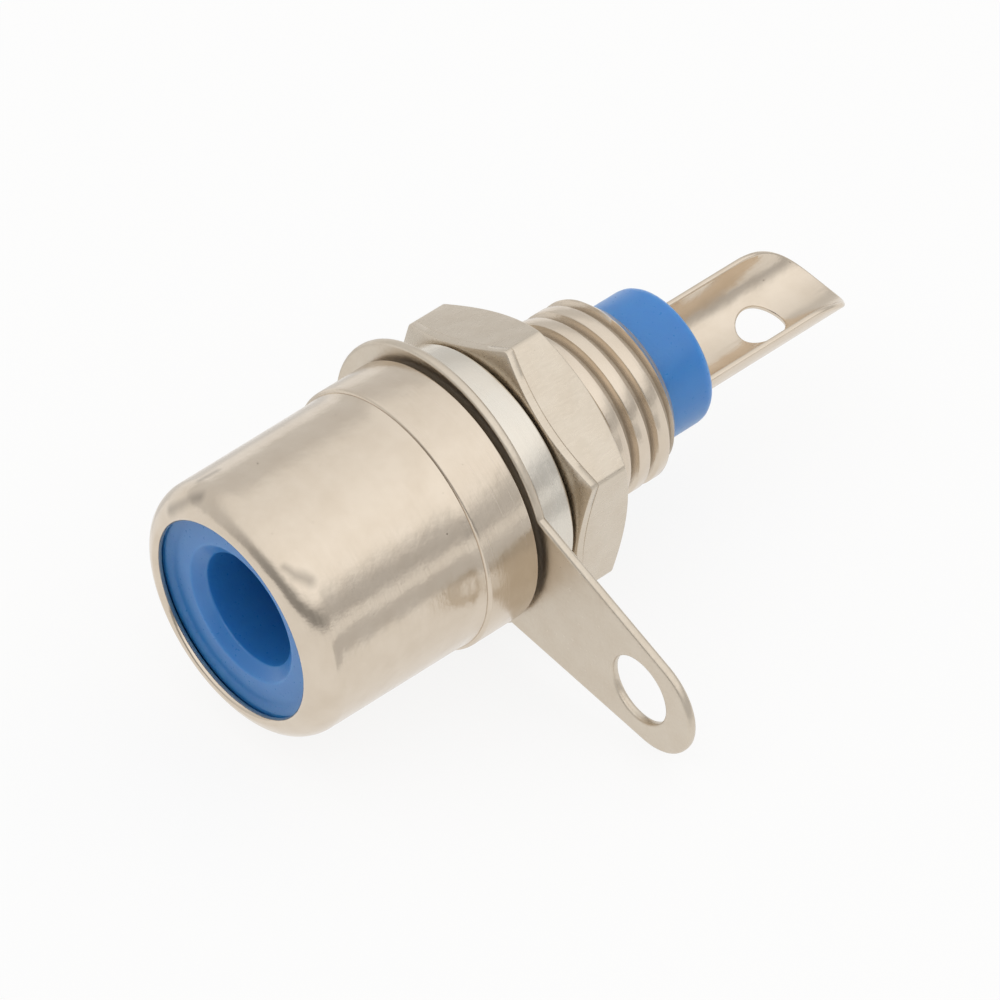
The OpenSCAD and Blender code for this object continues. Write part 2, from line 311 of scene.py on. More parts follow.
def arc(centre, radius, start, end, steps):
    """Points (x, y) of a circle's arc between two angles in radians."""
    turns = [start + (end - start) * k / steps for k in range(steps + 1)]
    return [(centre[0] + radius * math.cos(a), centre[1] + radius * math.sin(a)) for a in turns]


def skin(form, outline_at, turns):
    """Add a closed skin to form, through an outline of (radius, y) points at each angle about the Y axis."""
    rows = []
    for turn in turns:
        rows.append([
            form.verts.new((r * math.cos(turn), y, r * math.sin(turn))) for r, y in outline_at(turn)
        ])
    for here, there in zip(rows, rows[1:]):
        for k in range(len(here)):
            form.faces.new((here[k - 1], here[k], there[k], there[k - 1]))


def full_turn(steps=ROUND_STEPS):
    """Even angles of one turn, with the first one again at the end."""
    return [TURN * k / steps for k in range(steps + 1)]


def thread_height(phase):
    """Share of the thread's depth at a place along the thread, in pitches from a crest."""
    off = abs(phase - round(phase))
    for (near, high), (far, low) in zip(THREAD_FORM, THREAD_FORM[1:]):
        if off <= far:
            return high + (low - high) * (off - near) / (far - near)
    return 0.0


def thread_line(size, turn, start, end, radius_at):
    """Points (radius, y) along a right-hand thread at one angle; radius_at takes the height and y there."""
    pitch = size.pitch
    lead = pitch * turn / TURN - size.thread_start
    offsets = sorted({sign * off for off, _ in THREAD_FORM for sign in (-1, 1)})
    first = math.floor(start / pitch) - 1
    last = math.ceil(end / pitch) + 2
    line = []
    for crest in range(first, last + 1):
        for off in offsets:
            y = min(max((crest + off) * pitch - lead, start), end)
            line.append((radius_at(thread_height((y + lead) / pitch), y), y))
    return line


def inset_loop(loop, inset):
    """Loop of flat points moved to its left by inset."""
    moved = []
    for k, here in enumerate(loop):
        before = (Vector(here) - Vector(loop[k - 1])).normalized()
        after = (Vector(loop[(k + 1) % len(loop)]) - Vector(here)).normalized()
        across = Vector((-before.y - after.y, before.x + after.x)).normalized()
        stretch = max(across.dot(Vector((-before.y, before.x))), MITRE)
        moved.append(Vector(here) + across * inset / stretch)
    return moved


def sheet(form, loops, thickness, edge, place, cuts=()):
    """Add a metal sheet with rounded edges to form. The loops are flat, with the metal on their left: outline
    first, then holes. It may bend at the places across in cuts, and place gives each point's position."""
    flat = bmesh.new()
    big = 1 / MM  # drawn in millimetres, because filling a face needs large numbers
    half = thickness / 2
    quarter = [math.radians(a) for a in (0, 30, 60, 90)]
    rim = [(edge * (1 - math.sin(a)), half - edge + edge * math.cos(a)) for a in quarter]
    rim += [(inset, -out) for inset, out in reversed(rim)]
    faces_at = ([], [])
    for loop in loops:
        rings = [
            [flat.verts.new((x * big, y * big, out * big)) for x, y in inset_loop(loop, inset)]
            for inset, out in rim
        ]
        for here, there in zip(rings, rings[1:]):
            for k in range(len(here)):
                flat.faces.new((here[k - 1], here[k], there[k], there[k - 1]))
        for ring, edges in zip((rings[0], rings[-1]), faces_at):
            edges.extend(flat.edges.get((ring[k - 1], ring[k])) for k in range(len(ring)))
    for edges in faces_at:
        filled = bmesh.ops.triangle_fill(flat, edges=edges, use_beauty=True)["geom"]
        if not cuts:
            # a face that stays flat is joined up again, so that it shades flat
            inner = [part for part in filled if isinstance(part, bmesh.types.BMEdge) and part not in edges]
            bmesh.ops.dissolve_limit(flat, angle_limit=math.radians(1), verts=[], edges=inner)
    for across in cuts:
        everything = flat.verts[:] + flat.edges[:] + flat.faces[:]
        bmesh.ops.bisect_plane(flat, geom=everything, plane_co=(across * big, 0, 0), plane_no=(1, 0, 0))
    for vert in flat.verts:
        vert.co = place(*(vert.co / big))
    bent = bpy.data.meshes.new("sheet")
    flat.to_mesh(bent)
    flat.free()
    form.from_mesh(bent)
    bpy.data.meshes.remove(bent)


def rolled(x, y, z, roll):
    """Point turned about the Y axis, up from +X."""
    return (x * math.cos(roll) - z * math.sin(roll), y, x * math.sin(roll) + z * math.cos(roll))


def piece(name, form, node, material):
    """Object made of form, which stands for a CAD node and moves with its body."""
    bmesh.ops.remove_doubles(form, verts=form.verts, dist=MERGE)
    bmesh.ops.dissolve_degenerate(form, edges=form.edges, dist=MERGE)
    bmesh.ops.recalc_face_normals(form, faces=form.faces)
    mesh = bpy.data.meshes.new(name)
    form.to_mesh(mesh)
    form.free()
    mesh.shade_smooth()
    mesh.set_sharp_from_angle(angle=SHARP)
    mesh.materials.append(material)
    made = bpy.data.objects.new(name, mesh)
    bpy.context.scene.collection.objects.link(made)
    made.modifiers.new("Flat faces stay flat", "WEIGHTED_NORMAL").keep_sharp = True
    record = frame["record"]
    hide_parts(node)
    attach(made, next(body for body, nodes in record["behaviour"]["bodies"].items() if node in nodes))
    return made


def add_node(tree, kind, inputs=None, **settings):
    """Add a node with its settings; inputs are values or sockets to link, by name or place."""
    made = tree.nodes.new(kind)
    for name, value in settings.items():
        setattr(made, name, value)
    for key, value in (inputs or {}).items():
        if isinstance(value, bpy.types.NodeSocket):
            tree.links.new(value, made.inputs[key])
        else:
            made.inputs[key].default_value = value
    return made


def new_material(name):
    """Empty node material and its tree."""
    material = bpy.data.materials.new(name)
    material.use_nodes = True
    material.node_tree.nodes.clear()
    return material, material.node_tree


def painted_hollow_shade(tree, place, plate, hollow):
    """Colour and metallic share of plate with painted shade in a hollow: dull and brown up to the smaller
    radius of hollow, and bright from the larger one on."""
    hollow_shade_colour = bpy.context.scene.socket_colours.hollow_shade_colour
    across = add_node(
        tree, "ShaderNodeVectorMath", {0: place, 1: (1, 0, 1)}, operation="MULTIPLY"
    ).outputs["Vector"]
    radius = add_node(tree, "ShaderNodeVectorMath", {0: across}, operation="LENGTH").outputs["Value"]
    # painted shade: the share of brown falls from the smaller radius of hollow to the larger
    shade_share = add_node(
        tree,
        "ShaderNodeMapRange",
        {"Value": radius, "From Min": hollow[0], "From Max": hollow[1], "To Min": HOLLOW_SHADE_SHARE, "To Max": 0.0},
    ).outputs["Result"]
    shaded_plate = add_node(
        tree, "ShaderNodeMix", {"Factor": shade_share, MIX_A: plate, MIX_B: (*hollow_shade_colour, 1)}, data_type="RGBA"
    ).outputs[MIX_RESULT]
    metallic = add_node(tree, "ShaderNodeMath", {0: 1.0, 1: shade_share}, operation="SUBTRACT").outputs["Value"]
    return shaded_plate, metallic


def painted_dent_shade(tree, place, plate, cloud, dent_shades):
    """Colour of plate with painted shade of small dents: soft, dark marks, whose edges are waved by the
    clouds.
    """
    dent_shade_colour = bpy.context.scene.socket_colours.dent_shade_colour
    waved = add_node(tree, "ShaderNodeMath", {0: cloud, 1: 0.5}, operation="SUBTRACT").outputs["Value"]
    darkness = 0.0
    for start, end, half_width in dent_shades:
        reach = (Vector(end) - Vector(start)) * MM
        along = add_node(
            tree, "ShaderNodeVectorMath", {0: place, 1: Vector(start) * MM}, operation="SUBTRACT"
        ).outputs["Vector"]
        share_of = add_node(
            tree, "ShaderNodeVectorMath", {0: along, 1: reach / reach.length_squared}, operation="DOT_PRODUCT"
        ).outputs["Value"]
        held = add_node(tree, "ShaderNodeClamp", {"Value": share_of}).outputs["Result"]
        nearest = add_node(
            tree, "ShaderNodeVectorMath", {0: reach, "Scale": held}, operation="SCALE"
        ).outputs["Vector"]
        off = add_node(
            tree, "ShaderNodeVectorMath", {0: along, 1: nearest}, operation="DISTANCE"
        ).outputs["Value"]
        # distance from the middle line of a dent's painted shade, in half widths
        widths = add_node(
            tree, "ShaderNodeMath", {0: off, 1: 1 / (half_width * MM), 2: waved}, operation="MULTIPLY_ADD"
        ).outputs["Value"]
        here = add_node(
            tree,
            "ShaderNodeMapRange",
            {"Value": widths, "From Min": -0.2, "From Max": 1.0, "To Min": DENT_SHADE_SHARE, "To Max": 0.0},
            interpolation_type="SMOOTHSTEP",
        ).outputs["Result"]
        darkness = add_node(
            tree, "ShaderNodeMath", {0: darkness, 1: here}, operation="MAXIMUM"
        ).outputs["Value"]
    return add_node(
        tree, "ShaderNodeMix", {"Factor": darkness, MIX_A: plate, MIX_B: (*dent_shade_colour, 1)}, data_type="RGBA"
    ).outputs[MIX_RESULT]


def nickel_plate(name, bright, shade, roughness, lines, line_width, line_depth, hollow=None, dent_shades=()):
    """Nickel plate on brass. Bright plate mirrors the studio in a warm tone; what shows through it is how the
    brass under it was worked: lines stretches the pattern of tool marks along X, Y and Z, and line_width is
    their width, drawn wide enough to show."""
    pit = bpy.context.scene.socket_colours.pit
    material, tree = new_material(name)
    place = add_node(tree, "ShaderNodeTexCoord").outputs["Object"]
    worked = add_node(
        tree, "ShaderNodeMapping", {"Vector": place, "Scale": [stretch / line_width for stretch in lines]}
    ).outputs["Vector"]
    marks = add_node(
        tree, "ShaderNodeTexNoise", {"Vector": worked, "Scale": 1.0, "Detail": 3.0, "Roughness": 0.6}
    ).outputs["Fac"]
    cloud = add_node(
        tree, "ShaderNodeTexNoise", {"Vector": place, "Scale": 1 / CLOUD, "Detail": 4.0}
    ).outputs["Fac"]
    speck = add_node(
        tree, "ShaderNodeTexNoise", {"Vector": place, "Scale": 1 / SPECK, "Detail": 1.0}
    ).outputs["Fac"]
    # only the highest places of that pattern are specks, so they are few and far apart
    specks = add_node(
        tree, "ShaderNodeMapRange", {"Value": speck, "From Min": 0.8, "From Max": 0.86}
    ).outputs["Result"]
    # the clouds take on up to a quarter of the shade
    tone = add_node(
        tree,
        "ShaderNodeMapRange",
        {"Value": cloud, "From Min": 0.35, "From Max": 0.75, "To Min": 0.0, "To Max": 0.25},
    ).outputs["Result"]
    plate = add_node(
        tree, "ShaderNodeMix", {"Factor": tone, MIX_A: (*bright, 1), MIX_B: (*shade, 1)}, data_type="RGBA"
    ).outputs[MIX_RESULT]
    plate = add_node(
        tree, "ShaderNodeMix", {"Factor": specks, MIX_A: plate, MIX_B: (*pit, 1)}, data_type="RGBA"
    ).outputs[MIX_RESULT]
    metallic = 1.0
    # painted shade: towards the bottom of a hollow the plate turns brown and less metallic
    if hollow:
        plate, metallic = painted_hollow_shade(tree, place, plate, hollow)
    # painted shade of small dents: soft dark marks along the given lines
    if dent_shades:
        plate = painted_dent_shade(tree, place, plate, cloud, dent_shades)
    # the tool marks also vary the gloss
    gloss = add_node(
        tree,
        "ShaderNodeMapRange",
        {
            "Value": marks,
            "From Min": 0.3,
            "From Max": 0.7,
            "To Min": roughness * 0.8,
            "To Max": roughness * 1.25,
        },
    ).outputs["Result"]
    # specks are pits, twice as deep as the tool marks
    relief = add_node(
        tree, "ShaderNodeMath", {0: specks, 1: -2.0, 2: marks}, operation="MULTIPLY_ADD"
    ).outputs["Value"]
    # the clouds also wave the surface a little, so that what it mirrors is never quite straight
    wave = add_node(tree, "ShaderNodeBump", {"Height": cloud, "Distance": WAVE}).outputs["Normal"]
    bump = add_node(tree, "ShaderNodeBump", {"Height": relief, "Distance": line_depth, "Normal": wave})
    surface = add_node(
        tree,
        "ShaderNodeBsdfPrincipled",
        {
            "Base Color": plate,
            "Metallic": metallic,
            "Roughness": gloss,
            "Normal": bump.outputs["Normal"],
        },
    )
    add_node(tree, "ShaderNodeOutputMaterial", {"Surface": surface.outputs["BSDF"]})
    return material


def blue_moulding(name, blue, shade):
    """Moulded polyacetal: a smooth, faintly waxy surface with soft highlights and slight flow clouds."""
    material, tree = new_material(name)
    place = add_node(tree, "ShaderNodeTexCoord").outputs["Object"]
    cloud = add_node(
        tree, "ShaderNodeTexNoise", {"Vector": place, "Scale": 1 / FLOW, "Detail": 3.0}
    ).outputs["Fac"]
    grain = add_node(
        tree, "ShaderNodeTexNoise", {"Vector": place, "Scale": 1 / GRAIN, "Detail": 2.0}
    ).outputs["Fac"]
    tint = add_node(
        tree, "ShaderNodeMix", {"Factor": cloud, MIX_A: (*blue, 1), MIX_B: (*shade, 1)}, data_type="RGBA"
    ).outputs[MIX_RESULT]
    bump = add_node(tree, "ShaderNodeBump", {"Height": grain, "Distance": GRAIN_DEPTH})
    gloss = add_node(
        tree, "ShaderNodeMapRange", {"Value": grain, "To Min": 0.22, "To Max": 0.4}
    ).outputs["Result"]
    surface = add_node(
        tree,
        "ShaderNodeBsdfPrincipled",
        {
            "Base Color": tint,
            "Roughness": gloss,
            "IOR": 1.6,
            "Subsurface Weight": 0.9,
            "Subsurface Radius": (1.0, 1.0, 1.0),
            "Subsurface Scale": 0.8 * MM,
            "Normal": bump.outputs["Normal"],
        },
    )
    add_node(tree, "ShaderNodeOutputMaterial", {"Surface": surface.outputs["BSDF"]})
    return material


class SOCKET_OT_shell(bpy.types.Operator):
    """Add the drawn shell with its curled lip"""

    bl_idname = "socket.shell"
    bl_label = "Shell"

    def execute(self, context):
        size, colours = context.scene.socket_sizes, context.scene.socket_colours
        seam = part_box("shell")[1].y
        lip_y = seam - size.barrel
        start_r = size.shell_r - size.shell_taper
        centre = (start_r - size.lip, lip_y)
        inner = size.lip - size.shell_wall
        # the lip ends where its rounded rim just reaches the opening
        half_wall = size.shell_wall / 2
        middle = size.lip - half_wall
        rim_turn = math.acos((size.opening_r + half_wall - centre[0]) / middle)
        rim = (centre[0] + middle * math.cos(rim_turn), lip_y - middle * math.sin(rim_turn))
        corners = [
            (size.shell_r - size.shell_wall, seam, 0),
            (size.shell_r + size.flare, seam, 0),
            (size.shell_r, seam - size.flare_length, size.flare_round),
        ]
        curl = arc(centre, size.lip, 0, -rim_turn, steps=24)
        curl += arc(rim, half_wall, -rim_turn, -rim_turn - math.pi, steps=12)[1:]
        curl += arc(centre, inner, -rim_turn, 0, steps=16)[1:]
        outline = eased(corners + [(x, y, 0) for x, y in curl])
        form = bmesh.new()
        skin(form, lambda turn: outline, full_turn())
        # long, clear reflections, with faint polishing rings and painted shade of a few small dents
        finish = nickel_plate(
            "drawn brass, bright nickel plate",
            colours.nickel,
            colours.nickel_shade,
            roughness=0.18,
            lines=(0.03, 1, 0.03),
            line_width=0.06 * MM,
            line_depth=0.001 * MM,
            dent_shades=SHELL_DENT_SHADES,
        )
        piece("shell_drawn", form, "shell", finish)
        return {"FINISHED"}


class SOCKET_OT_body(bpy.types.Operator):
    """Add the turned body: spigot, band and threaded shank"""

    bl_idname = "socket.body"
    bl_label = "Body"

    def execute(self, context):
        size, colours = context.scene.socket_sizes, context.scene.socket_colours
        low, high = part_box("body")
        seam, shank_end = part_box("shell")[1].y, high.y
        floor_y = seam + size.seat

        def thread_radius(height, y):
            sloping = size.thread_r - max(0.0, y - (shank_end - size.chamfer))
            return min(size.thread_r - size.thread_depth * (1 - height), sloping)

        def outline(turn):
            front = [
                (size.shank_bore, floor_y, 0),
                (size.spigot_bore, floor_y, 0),
                (size.spigot_bore, low.y, size.edge),
                (size.spigot_r, low.y, size.edge),
                (size.spigot_r, seam, 0),
                (size.band_r, seam, size.band_front),
                (size.band_r, 0.0, size.band_edge),
            ]
            thread = thread_line(size, turn, 0.0, shank_end, thread_radius)
            rear = [(size.shank_bore, shank_end, size.edge)]
            return eased(front + [(r, y, 0) for r, y in thread] + rear)

        form = bmesh.new()
        skin(form, outline, full_turn())
        root = size.thread_r - size.thread_depth
        # clear reflections broken by turning rings, and painted shade in the thread's roots
        finish = nickel_plate(
            "turned brass, bright nickel plate",
            colours.nickel,
            colours.nickel_shade,
            roughness=0.22,
            lines=(0.03, 1, 0.03),
            line_width=0.06 * MM,
            line_depth=0.003 * MM,
            hollow=(root, root + ROOT_SHADE_SPAN * size.thread_depth),
        )
        piece("body_turned", form, "body", finish)
        return {"FINISHED"}


class SOCKET_OT_insulator(bpy.types.Operator):
    """Add the blue moulding from the front face to the rear collar"""

    bl_idname = "socket.insulator"
    bl_label = "Insulator"

    def execute(self, context):
        size, colours = context.scene.socket_sizes, context.scene.socket_colours
        low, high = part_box("insulator")
        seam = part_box("shell")[1].y
        waist_end = seam + size.waist_end
        guide_end = low.y + size.sink + size.guide
        lip = (size.shell_r - size.shell_taper - size.lip, seam - size.barrel)
        inside = size.lip - size.shell_wall - size.lip_gap
        edge = arc(lip, inside, -math.acos((size.bead_r - lip[0]) / inside), 0, steps=12)
        outline = eased([
            (size.sink_r, low.y, size.edge),
            (size.bead_r - size.bead, low.y, size.bead / 3),
            (size.bead_r - size.bead / 3, edge[0][1], size.bead / 6),
            *((r, y, 0) for r, y in edge),
            (size.plug_r, seam - size.plug_end, size.edge),
            (size.waist_r, seam - size.plug_end, 0),
            (size.waist_r, waist_end, size.edge),
            (size.stem_r, waist_end, 0),
            (size.stem_r, high.y, size.collar_edge),
            (size.tail_hole_r, high.y, size.edge),
            (size.tail_hole_r, high.y - size.tail_hole, 0),
            (size.chamber_r, high.y - size.tail_hole, 0),
            (size.chamber_r, waist_end - size.pocket_wall, 0),
            (size.pocket_r, waist_end - size.pocket_wall, 0),
            (size.pocket_r, guide_end, 0),
            (size.bore_r, guide_end, size.edge),
            (size.bore_r, low.y + size.sink, size.edge),
        ])
        form = bmesh.new()
        skin(form, lambda turn: outline, full_turn())
        finish = blue_moulding("moulded blue polyacetal", colours.blue, colours.blue_shade)
        piece("insulator_moulded", form, "insulator", finish)
        return {"FINISHED"}


class SOCKET_OT_contact(bpy.types.Operator):
    """Add the rolled contact: slotted spring tube, neck and half-round solder trough"""

    bl_idname = "socket.contact"
    bl_label = "Contact"

    def execute(self, context):
        size, colours = context.scene.socket_sizes, context.scene.socket_colours
        low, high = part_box("contact")
        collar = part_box("insulator")[1].y
        neck_end = collar - size.tail_hole - size.neck_gap
        form = bmesh.new()
        self.tube(form, size, low.y, neck_end)
        self.tail(form, size, neck_end, collar, high.y)
        # clear reflections, drawn out by the rolling lines along the strip
        finish = nickel_plate(
            "rolled brass sheet, nickel plate",
            colours.nickel,
            colours.nickel_shade,
            roughness=0.21,
            lines=(1, 0.05, 1),
            line_width=0.08 * MM,
            line_depth=0.001 * MM,
        )
        piece("contact_rolled", form, "contact", finish)
        return {"FINISHED"}

    def tube(self, form, size, mouth, neck_end):
        """Comb of four springs, bent into a tube, and the neck that closes it."""
        middle = size.tube_r - size.metal / 2
        width = TURN * middle
        slot_end = mouth + size.slot_end
        half = size.slot / 2
        left_edge, right_edge = size.tube_seam, width - size.tube_seam
        comb = [(left_edge, slot_end)]
        for spring in range(SPRINGS):
            left = width * spring / SPRINGS + half
            right = width * (spring + 1) / SPRINGS - half
            comb += [(left, slot_end), (left, mouth), (right, mouth), (right, slot_end)]
        comb += [(right_edge, slot_end), (right_edge, neck_end), (left_edge, neck_end)]

        def bend(across, along, out):
            turn = size.slot_turn + across / middle
            return ((middle + out) * math.cos(turn), along, (middle + out) * math.sin(turn))

        bends = 72
        sheet(form, [comb], size.metal, size.metal_edge, bend, [width * k / bends for k in range(1, bends)])
        neck = eased([
            (0.0, neck_end - size.neck, 0),
            (middle, neck_end - size.neck, 0),
            (middle, neck_end, 0),
            (0.0, neck_end, 0),
        ])
        skin(form, lambda turn: neck, full_turn(steps=64))

    def tail(self, form, size, neck_end, collar, tail_end):
        """Strip with a round end and a wire hole, bent into a half-round trough that is open upwards."""
        middle = size.tail_r - size.tail_metal / 2
        edge = middle * math.acos(size.tail_rim / middle)
        quarter = math.pi / 2
        half_circle = arc((0, 0), 1, 0, 2 * quarter, steps=64)
        tip = [(edge * x, tail_end + size.tail_end * (y - 1)) for x, y in half_circle]
        outline = [(-edge, neck_end), (edge, neck_end)] + tip
        eye = arc((0, 0), size.tail_eye_r, TURN, 0, steps=48)[:-1]
        hole = [(middle * math.asin(x / middle), collar + size.tail_eye + along) for x, along in eye]

        def bend(across, along, out):
            turn = size.tail_roll - quarter + across / middle
            return ((middle + out) * math.cos(turn), along, (middle + out) * math.sin(turn))

        bends = 48
        cuts = [edge * (2 * k / bends - 1) for k in range(1, bends)]
        sheet(form, [outline, hole], size.tail_metal, size.metal_edge, bend, cuts)


class SOCKET_OT_lug(bpy.types.Operator):
    """Add the stamped solder lug"""

    bl_idname = "socket.lug"
    bl_label = "Lug"

    def execute(self, context):
        size, colours = context.scene.socket_sizes, context.scene.socket_colours
        low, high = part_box("lug")
        # where the tab's straight edge leaves the ring: a line against a circle
        slope = math.tan(size.tab_taper)
        root = (size.tab_r + size.tab_reach * math.sin(size.tab_taper)) / math.cos(size.tab_taper)
        a, b = 1 + slope**2, size.ring_shift - slope * root
        meet_x = (-b + math.sqrt(b**2 - a * (size.ring_shift**2 + root**2 - size.ring_r**2))) / a
        meet = math.atan2(root - slope * meet_x, meet_x + size.ring_shift)
        end = math.pi / 2 - size.tab_taper
        outline = arc((-size.ring_shift, 0), size.ring_r, meet, TURN - meet, steps=120)
        outline += arc((size.tab_reach, 0), size.tab_r, -end, end, steps=48)
        holes = [
            arc((-size.ring_shift, 0), size.ring_hole, TURN, 0, steps=120)[:-1],
            arc((size.tab_reach - size.tab_eye_inset, 0), size.tab_eye, TURN, 0, steps=72)[:-1],
        ]
        middle = (low.y + high.y) / 2
        form = bmesh.new()
        sheet(
            form,
            [outline, *holes],
            high.y - low.y,
            size.lug_edge,
            lambda x, z, out: rolled(x, middle + out, z - size.lug_side, size.tab_roll),
        )
        # soft, even sheen, and painted shade where the ring faces the band
        finish = nickel_plate(
            "stamped brass sheet, satin nickel plate",
            colours.satin,
            colours.nickel_shade,
            roughness=0.34,
            lines=(1, 1, 1),
            line_width=0.1 * MM,
            line_depth=0.0009 * MM,
            hollow=(size.washer_r, size.band_r),
        )
        piece("lug_stamped", form, "lug", finish)
        return {"FINISHED"}


class SOCKET_OT_washer(bpy.types.Operator):
    """Add the thick flat washer"""

    bl_idname = "socket.washer"
    bl_label = "Washer"

    def execute(self, context):
        size, colours = context.scene.socket_sizes, context.scene.socket_colours
        low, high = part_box("washer")
        outline = eased([
            (size.washer_hole, low.y, size.edge),
            (size.washer_r, low.y, size.washer_edge),
            (size.washer_r, high.y, size.washer_edge),
            (size.washer_hole, high.y, size.edge),
        ])
        form = bmesh.new()
        skin(form, lambda turn: outline, full_turn())
        # whiter than the other pieces, with faint rings on its rim
        finish = nickel_plate(
            "stamped brass washer, pale satin nickel plate",
            colours.washer,
            colours.nickel,
            roughness=0.24,
            lines=(0.05, 1, 0.05),
            line_width=0.07 * MM,
            line_depth=0.0008 * MM,
        )
        piece("washer_flat", form, "washer", finish)
        return {"FINISHED"}


class SOCKET_OT_nut(bpy.types.Operator):
    """Add the hexagon nut with its bevels and inside thread"""

    bl_idname = "socket.nut"
    bl_label = "Nut"

    def execute(self, context):
        size, colours = context.scene.socket_sizes, context.scene.socket_colours
        low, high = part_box("nut")
        sixth = TURN / 6
        # each corner is an arc that meets the two flats beside it
        corner_centre = (size.nut_flats - size.nut_corner) / math.cos(sixth / 2)
        flat_end = math.atan((size.nut_flats - size.nut_corner) * math.tan(sixth / 2) / size.nut_flats)

        def hexagon(turn):
            sixths = (turn - size.nut_roll) / sixth
            off = abs(sixths - round(sixths)) * sixth
            if sixth / 2 - off <= flat_end:
                return size.nut_flats / math.cos(sixth / 2 - off)
            aside = corner_centre * math.sin(off)
            return corner_centre * math.cos(off) + math.sqrt(size.nut_corner**2 - aside**2)

        def hole_radius(height, y):
            mouth = size.thread_r + size.edge - min(y - low.y, high.y - y)
            return max(size.thread_r + size.thread_gap - size.thread_depth * (1 - height), mouth)

        def outline(turn):
            reach = hexagon(turn)
            bevel = (reach - size.nut_face) * math.tan(size.nut_bevel)
            line_y = low.y + bevel + size.nut_line
            outside = [
                (size.nut_face, low.y, 0),
                (reach, low.y + bevel, size.nut_edge),
                (reach, line_y - size.nut_line_depth, 0),
                (reach - size.nut_line_depth, line_y, 0),
                (reach, line_y + size.nut_line_depth, 0),
                (reach, high.y - bevel, size.nut_edge),
                (size.nut_face, high.y, 0),
            ]
            thread = thread_line(size, turn, low.y, high.y, hole_radius)
            return eased(outside + [(r, y, 0) for r, y in reversed(thread)])

        flat_steps, corner_steps = 16, 6
        beside = [flat_end * (2 * k / flat_steps - 1) for k in range(flat_steps + 1)]
        corner = sixth - 2 * flat_end
        beside += [flat_end + corner * k / corner_steps for k in range(1, corner_steps)]
        turns = [size.nut_roll + sixth * (n + 0.5) + off for n in range(6) for off in beside]
        turns.append(turns[0] + TURN)
        form = bmesh.new()
        skin(form, outline, turns)
        # soft sheen on the flats, with short milling lines along the axis
        finish = nickel_plate(
            "milled brass hexagon, nickel plate",
            colours.satin,
            colours.nickel_shade,
            roughness=0.3,
            lines=(1, 0.2, 1),
            line_width=0.06 * MM,
            line_depth=0.0012 * MM,
        )
        piece("nut_hexagon", form, "nut", finish)
        return {"FINISHED"}


